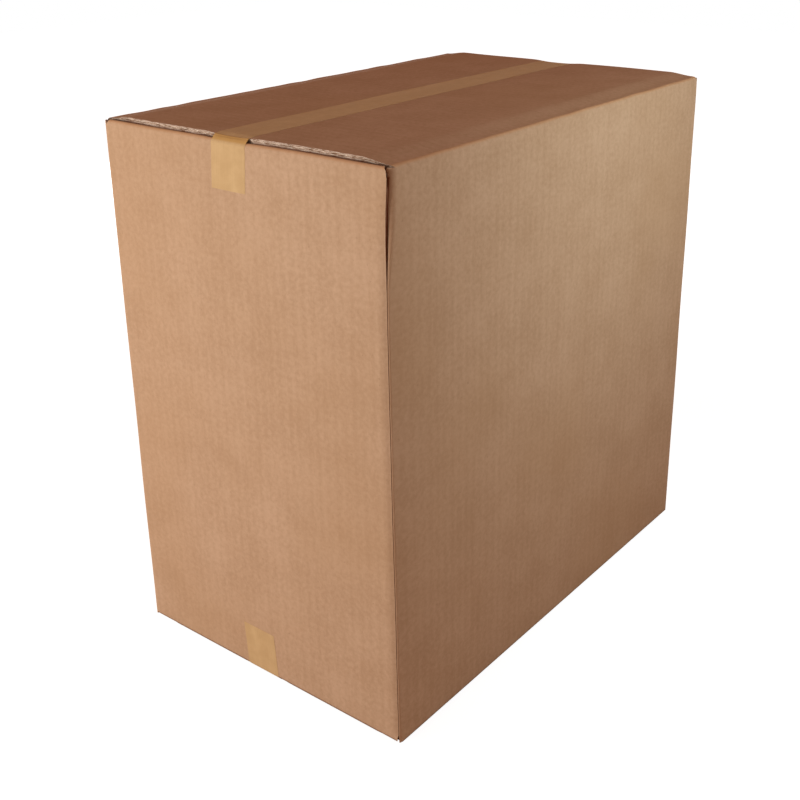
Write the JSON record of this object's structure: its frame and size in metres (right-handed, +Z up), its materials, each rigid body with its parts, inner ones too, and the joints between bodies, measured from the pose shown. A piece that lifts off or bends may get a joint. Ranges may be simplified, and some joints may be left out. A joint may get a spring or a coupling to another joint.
{
  "type": "double wall corrugated box",
  "caption": "Tall slotted carton of double wall corrugated board, folded shut, with packing tape along the top and bottom seams and down both end panels.",
  "frame": {"origin": "middle of the face that the carton stands on", "axes": "+Z up, X across the narrow end panels, Y along the long side panels, the glued joint at +X -Y"},
  "size_m": [0.4, 0.6252, 0.6394],
  "materials": {
    "kraft_board": "matte",
    "dried_glue": "satin",
    "tape_film": "satin"
  },
  "bodies": {
    "root": {"carton": "kraft_board", "joint_glue": "dried_glue", "top_tape": "tape_film", "bottom_tape": "tape_film"}
  },
  "joints": []
}
